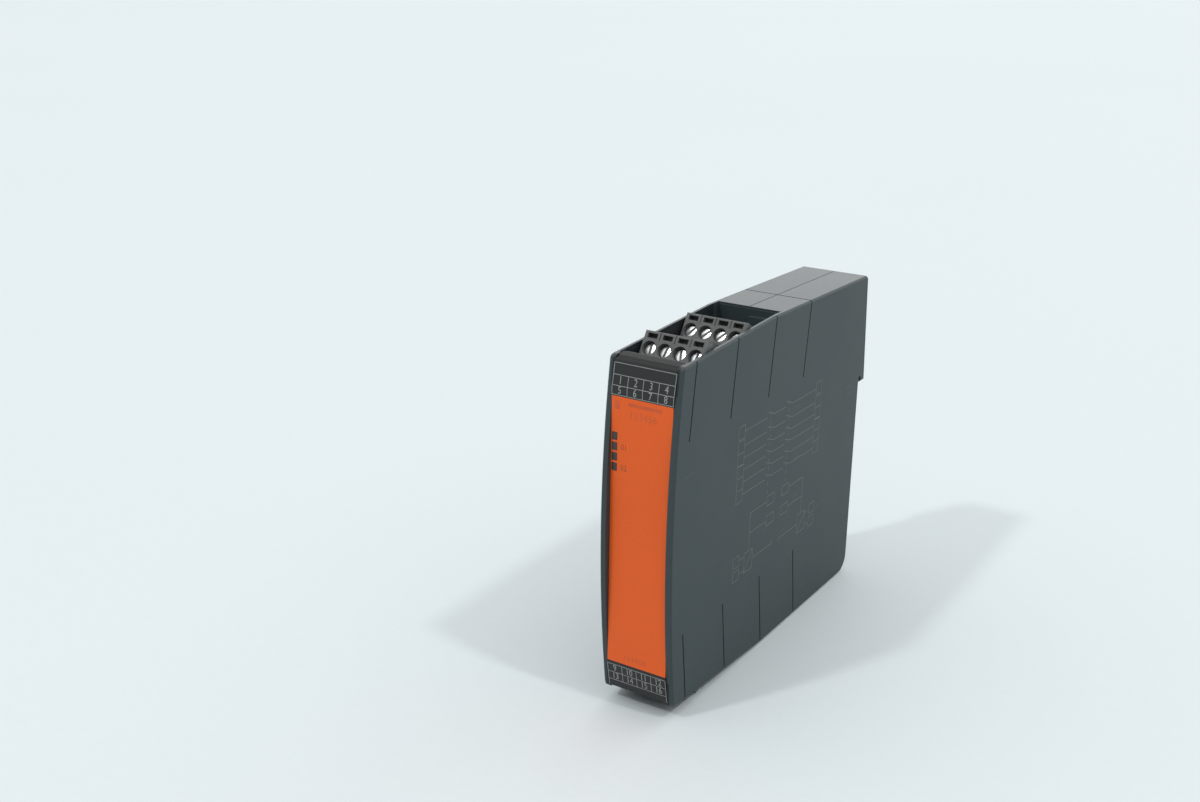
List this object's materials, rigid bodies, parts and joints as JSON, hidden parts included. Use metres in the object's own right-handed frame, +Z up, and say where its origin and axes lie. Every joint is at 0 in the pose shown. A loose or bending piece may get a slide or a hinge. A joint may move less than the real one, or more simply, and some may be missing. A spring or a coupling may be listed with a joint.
{
  "type": "safety relay expansion module",
  "caption": "Slim dark rail-mount relay module with an orange front label, plug-in screw terminal blocks along top and bottom, and a sprung rail latch.",
  "frame": {"origin": "middle of the module's outline on the surface it stands on", "axes": "+X across the module to its right seen from the front, +Y from the front to the rail, +Z up"},
  "size_m": [0.0226, 0.121, 0.1035],
  "materials": {
    "case": "fine grained",
    "cover": "satin",
    "label": "satin printed sheet",
    "window": "smoked clear",
    "light": "clear",
    "terminal": "grained",
    "screw": "zinc plated",
    "cage": "zinc plated",
    "contact": "tinned",
    "header": "moulded",
    "pin": "tinned",
    "board": "lacquered",
    "relay": "sealed can",
    "can": "sleeveless can",
    "small_part": "moulded",
    "latch": "moulded",
    "spring": "drawn wire"
  },
  "bodies": {
    "module": {"case_right": "case", "case_left": "case", "front_cover": "cover", "front_label": "label", "light_guide": "window", "lights": "light", "main_board": "board", "relay_upper": "relay", "relay_lower": "relay", "capacitor": "can", "small_parts": "small_part", "header_pins": "pin", "latch_spring": "spring", "header_top_front": "header", "header_top_rear": "header", "header_bottom_front": "header", "header_bottom_rear": "header"},
    "latch": {"rail_latch": "latch"},
    "plug_top_front": {"plug_top_front": "terminal", "contacts_top_front": "contact"},
    "screw_top_front_1": {"screw_top_front_1": "screw"},
    "cage_top_front_1": {"cage_top_front_1": "cage"},
    "screw_top_front_2": {"screw_top_front_2": "screw"},
    "cage_top_front_2": {"cage_top_front_2": "cage"},
    "screw_top_front_3": {"screw_top_front_3": "screw"},
    "cage_top_front_3": {"cage_top_front_3": "cage"},
    "screw_top_front_4": {"screw_top_front_4": "screw"},
    "cage_top_front_4": {"cage_top_front_4": "cage"},
    "plug_top_rear": {"plug_top_rear": "terminal", "contacts_top_rear": "contact"},
    "screw_top_rear_1": {"screw_top_rear_1": "screw"},
    "cage_top_rear_1": {"cage_top_rear_1": "cage"},
    "screw_top_rear_2": {"screw_top_rear_2": "screw"},
    "cage_top_rear_2": {"cage_top_rear_2": "cage"},
    "screw_top_rear_3": {"screw_top_rear_3": "screw"},
    "cage_top_rear_3": {"cage_top_rear_3": "cage"},
    "screw_top_rear_4": {"screw_top_rear_4": "screw"},
    "cage_top_rear_4": {"cage_top_rear_4": "cage"},
    "plug_bottom_front": {"plug_bottom_front": "terminal", "contacts_bottom_front": "contact"},
    "screw_bottom_front_1": {"screw_bottom_front_1": "screw"},
    "cage_bottom_front_1": {"cage_bottom_front_1": "cage"},
    "screw_bottom_front_2": {"screw_bottom_front_2": "screw"},
    "cage_bottom_front_2": {"cage_bottom_front_2": "cage"},
    "screw_bottom_front_3": {"screw_bottom_front_3": "screw"},
    "cage_bottom_front_3": {"cage_bottom_front_3": "cage"},
    "screw_bottom_front_4": {"screw_bottom_front_4": "screw"},
    "cage_bottom_front_4": {"cage_bottom_front_4": "cage"},
    "plug_bottom_rear": {"plug_bottom_rear": "terminal", "contacts_bottom_rear": "contact"},
    "screw_bottom_rear_1": {"screw_bottom_rear_1": "screw"},
    "cage_bottom_rear_1": {"cage_bottom_rear_1": "cage"},
    "screw_bottom_rear_2": {"screw_bottom_rear_2": "screw"},
    "cage_bottom_rear_2": {"cage_bottom_rear_2": "cage"},
    "screw_bottom_rear_3": {"screw_bottom_rear_3": "screw"},
    "cage_bottom_rear_3": {"cage_bottom_rear_3": "cage"},
    "screw_bottom_rear_4": {"screw_bottom_rear_4": "screw"},
    "cage_bottom_rear_4": {"cage_bottom_rear_4": "cage"}
  },
  "joints": [
    {"name": "slide_latch", "type": "slide", "parent": "module", "child": "latch", "axis": [0, 0, -1], "range_m": [0, 0.003], "stiffness_N_per_m": 1500, "springref_m": -0.002, "deforming": ["latch_spring"]},
    {"name": "pull_plug_top_front", "type": "slide", "parent": "module", "child": "plug_top_front", "axis": [0, 0.1305, 0.9914], "range_m": [0, 0.025]},
    {"name": "turn_screw_top_front_1", "type": "hinge", "parent": "plug_top_front", "child": "screw_top_front_1", "pos_m": [-0.007, -0.04204, 0.09789], "axis": [0, 0.8192, -0.5736], "range_deg": [0, 1800]},
    {"name": "lift_cage_top_front_1", "type": "slide", "parent": "plug_top_front", "child": "cage_top_front_1", "axis": [0, -0.8192, 0.5736], "range_m": [0, 0.0025]},
    {"name": "turn_screw_top_front_2", "type": "hinge", "parent": "plug_top_front", "child": "screw_top_front_2", "pos_m": [-0.00233, -0.04204, 0.09789], "axis": [0, 0.8192, -0.5736], "range_deg": [0, 1800]},
    {"name": "lift_cage_top_front_2", "type": "slide", "parent": "plug_top_front", "child": "cage_top_front_2", "axis": [0, -0.8192, 0.5736], "range_m": [0, 0.0025]},
    {"name": "turn_screw_top_front_3", "type": "hinge", "parent": "plug_top_front", "child": "screw_top_front_3", "pos_m": [0.00233, -0.04204, 0.09789], "axis": [0, 0.8192, -0.5736], "range_deg": [0, 1800]},
    {"name": "lift_cage_top_front_3", "type": "slide", "parent": "plug_top_front", "child": "cage_top_front_3", "axis": [0, -0.8192, 0.5736], "range_m": [0, 0.0025]},
    {"name": "turn_screw_top_front_4", "type": "hinge", "parent": "plug_top_front", "child": "screw_top_front_4", "pos_m": [0.007, -0.04204, 0.09789], "axis": [0, 0.8192, -0.5736], "range_deg": [0, 1800]},
    {"name": "lift_cage_top_front_4", "type": "slide", "parent": "plug_top_front", "child": "cage_top_front_4", "axis": [0, -0.8192, 0.5736], "range_m": [0, 0.0025]},
    {"name": "pull_plug_top_rear", "type": "slide", "parent": "module", "child": "plug_top_rear", "axis": [0, 0.1305, 0.9914], "range_m": [0, 0.025]},
    {"name": "turn_screw_top_rear_1", "type": "hinge", "parent": "plug_top_rear", "child": "screw_top_rear_1", "pos_m": [-0.007, -0.02024, 0.09789], "axis": [0, 0.8192, -0.5736], "range_deg": [0, 1800]},
    {"name": "lift_cage_top_rear_1", "type": "slide", "parent": "plug_top_rear", "child": "cage_top_rear_1", "axis": [0, -0.8192, 0.5736], "range_m": [0, 0.0025]},
    {"name": "turn_screw_top_rear_2", "type": "hinge", "parent": "plug_top_rear", "child": "screw_top_rear_2", "pos_m": [-0.00233, -0.02024, 0.09789], "axis": [0, 0.8192, -0.5736], "range_deg": [0, 1800]},
    {"name": "lift_cage_top_rear_2", "type": "slide", "parent": "plug_top_rear", "child": "cage_top_rear_2", "axis": [0, -0.8192, 0.5736], "range_m": [0, 0.0025]},
    {"name": "turn_screw_top_rear_3", "type": "hinge", "parent": "plug_top_rear", "child": "screw_top_rear_3", "pos_m": [0.00233, -0.02024, 0.09789], "axis": [0, 0.8192, -0.5736], "range_deg": [0, 1800]},
    {"name": "lift_cage_top_rear_3", "type": "slide", "parent": "plug_top_rear", "child": "cage_top_rear_3", "axis": [0, -0.8192, 0.5736], "range_m": [0, 0.0025]},
    {"name": "turn_screw_top_rear_4", "type": "hinge", "parent": "plug_top_rear", "child": "screw_top_rear_4", "pos_m": [0.007, -0.02024, 0.09789], "axis": [0, 0.8192, -0.5736], "range_deg": [0, 1800]},
    {"name": "lift_cage_top_rear_4", "type": "slide", "parent": "plug_top_rear", "child": "cage_top_rear_4", "axis": [0, -0.8192, 0.5736], "range_m": [0, 0.0025]},
    {"name": "pull_plug_bottom_front", "type": "slide", "parent": "module", "child": "plug_bottom_front", "axis": [0, 0.1305, -0.9914], "range_m": [0, 0.025]},
    {"name": "turn_screw_bottom_front_1", "type": "hinge", "parent": "plug_bottom_front", "child": "screw_bottom_front_1", "pos_m": [-0.007, -0.04204, 0.00556], "axis": [0, 0.8192, 0.5736], "range_deg": [0, 1800]},
    {"name": "lift_cage_bottom_front_1", "type": "slide", "parent": "plug_bottom_front", "child": "cage_bottom_front_1", "axis": [0, -0.8192, -0.5736], "range_m": [0, 0.0025]},
    {"name": "turn_screw_bottom_front_2", "type": "hinge", "parent": "plug_bottom_front", "child": "screw_bottom_front_2", "pos_m": [-0.00233, -0.04204, 0.00556], "axis": [0, 0.8192, 0.5736], "range_deg": [0, 1800]},
    {"name": "lift_cage_bottom_front_2", "type": "slide", "parent": "plug_bottom_front", "child": "cage_bottom_front_2", "axis": [0, -0.8192, -0.5736], "range_m": [0, 0.0025]},
    {"name": "turn_screw_bottom_front_3", "type": "hinge", "parent": "plug_bottom_front", "child": "screw_bottom_front_3", "pos_m": [0.00233, -0.04204, 0.00556], "axis": [0, 0.8192, 0.5736], "range_deg": [0, 1800]},
    {"name": "lift_cage_bottom_front_3", "type": "slide", "parent": "plug_bottom_front", "child": "cage_bottom_front_3", "axis": [0, -0.8192, -0.5736], "range_m": [0, 0.0025]},
    {"name": "turn_screw_bottom_front_4", "type": "hinge", "parent": "plug_bottom_front", "child": "screw_bottom_front_4", "pos_m": [0.007, -0.04204, 0.00556], "axis": [0, 0.8192, 0.5736], "range_deg": [0, 1800]},
    {"name": "lift_cage_bottom_front_4", "type": "slide", "parent": "plug_bottom_front", "child": "cage_bottom_front_4", "axis": [0, -0.8192, -0.5736], "range_m": [0, 0.0025]},
    {"name": "pull_plug_bottom_rear", "type": "slide", "parent": "module", "child": "plug_bottom_rear", "axis": [0, 0.1305, -0.9914], "range_m": [0, 0.025]},
    {"name": "turn_screw_bottom_rear_1", "type": "hinge", "parent": "plug_bottom_rear", "child": "screw_bottom_rear_1", "pos_m": [-0.007, -0.02024, 0.00556], "axis": [0, 0.8192, 0.5736], "range_deg": [0, 1800]},
    {"name": "lift_cage_bottom_rear_1", "type": "slide", "parent": "plug_bottom_rear", "child": "cage_bottom_rear_1", "axis": [0, -0.8192, -0.5736], "range_m": [0, 0.0025]},
    {"name": "turn_screw_bottom_rear_2", "type": "hinge", "parent": "plug_bottom_rear", "child": "screw_bottom_rear_2", "pos_m": [-0.00233, -0.02024, 0.00556], "axis": [0, 0.8192, 0.5736], "range_deg": [0, 1800]},
    {"name": "lift_cage_bottom_rear_2", "type": "slide", "parent": "plug_bottom_rear", "child": "cage_bottom_rear_2", "axis": [0, -0.8192, -0.5736], "range_m": [0, 0.0025]},
    {"name": "turn_screw_bottom_rear_3", "type": "hinge", "parent": "plug_bottom_rear", "child": "screw_bottom_rear_3", "pos_m": [0.00233, -0.02024, 0.00556], "axis": [0, 0.8192, 0.5736], "range_deg": [0, 1800]},
    {"name": "lift_cage_bottom_rear_3", "type": "slide", "parent": "plug_bottom_rear", "child": "cage_bottom_rear_3", "axis": [0, -0.8192, -0.5736], "range_m": [0, 0.0025]},
    {"name": "turn_screw_bottom_rear_4", "type": "hinge", "parent": "plug_bottom_rear", "child": "screw_bottom_rear_4", "pos_m": [0.007, -0.02024, 0.00556], "axis": [0, 0.8192, 0.5736], "range_deg": [0, 1800]},
    {"name": "lift_cage_bottom_rear_4", "type": "slide", "parent": "plug_bottom_rear", "child": "cage_bottom_rear_4", "axis": [0, -0.8192, -0.5736], "range_m": [0, 0.0025]}
  ],
  "couplings": [
    {"joint": "turn_screw_top_front_1", "follows": "lift_cage_top_front_1", "rad_per_m": 12566},
    {"joint": "turn_screw_top_front_2", "follows": "lift_cage_top_front_2", "rad_per_m": 12566},
    {"joint": "turn_screw_top_front_3", "follows": "lift_cage_top_front_3", "rad_per_m": 12566},
    {"joint": "turn_screw_top_front_4", "follows": "lift_cage_top_front_4", "rad_per_m": 12566},
    {"joint": "turn_screw_top_rear_1", "follows": "lift_cage_top_rear_1", "rad_per_m": 12566},
    {"joint": "turn_screw_top_rear_2", "follows": "lift_cage_top_rear_2", "rad_per_m": 12566},
    {"joint": "turn_screw_top_rear_3", "follows": "lift_cage_top_rear_3", "rad_per_m": 12566},
    {"joint": "turn_screw_top_rear_4", "follows": "lift_cage_top_rear_4", "rad_per_m": 12566},
    {"joint": "turn_screw_bottom_front_1", "follows": "lift_cage_bottom_front_1", "rad_per_m": 12566},
    {"joint": "turn_screw_bottom_front_2", "follows": "lift_cage_bottom_front_2", "rad_per_m": 12566},
    {"joint": "turn_screw_bottom_front_3", "follows": "lift_cage_bottom_front_3", "rad_per_m": 12566},
    {"joint": "turn_screw_bottom_front_4", "follows": "lift_cage_bottom_front_4", "rad_per_m": 12566},
    {"joint": "turn_screw_bottom_rear_1", "follows": "lift_cage_bottom_rear_1", "rad_per_m": 12566},
    {"joint": "turn_screw_bottom_rear_2", "follows": "lift_cage_bottom_rear_2", "rad_per_m": 12566},
    {"joint": "turn_screw_bottom_rear_3", "follows": "lift_cage_bottom_rear_3", "rad_per_m": 12566},
    {"joint": "turn_screw_bottom_rear_4", "follows": "lift_cage_bottom_rear_4", "rad_per_m": 12566}
  ]
}
